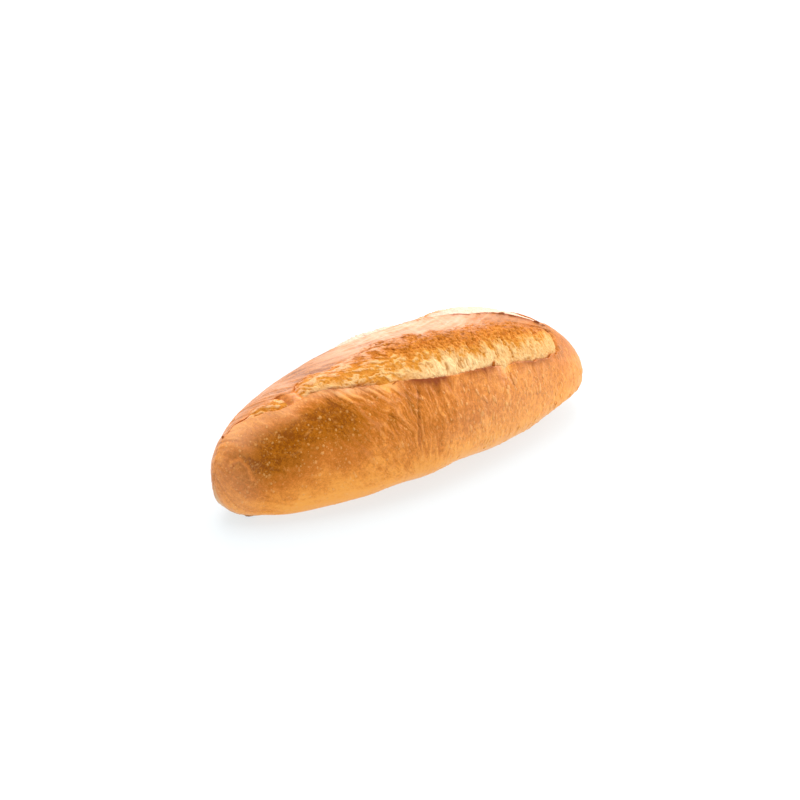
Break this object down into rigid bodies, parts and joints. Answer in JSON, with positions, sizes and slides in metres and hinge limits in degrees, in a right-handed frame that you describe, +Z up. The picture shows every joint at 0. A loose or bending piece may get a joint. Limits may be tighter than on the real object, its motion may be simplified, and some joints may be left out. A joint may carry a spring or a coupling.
{
  "type": "bread loaf",
  "caption": "Short crusty white bread loaf with long slanting cuts that opened in the oven, raised lips and a flat sole.",
  "frame": {"origin": "middle of the loaf's box at the level of its flat sole, so that the loaf stands on the plane z = 0", "axes": "+X along the loaf from its slim end to its blunt end, +Z up, and the long near cut on the -Y side"},
  "size_m": [0.24, 0.0922, 0.0713],
  "materials": {
    "crust": "baked crust, half glossy, golden brown with a paler band in the cuts"
  },
  "bodies": {
    "root": {"loaf": "crust"}
  },
  "joints": []
}
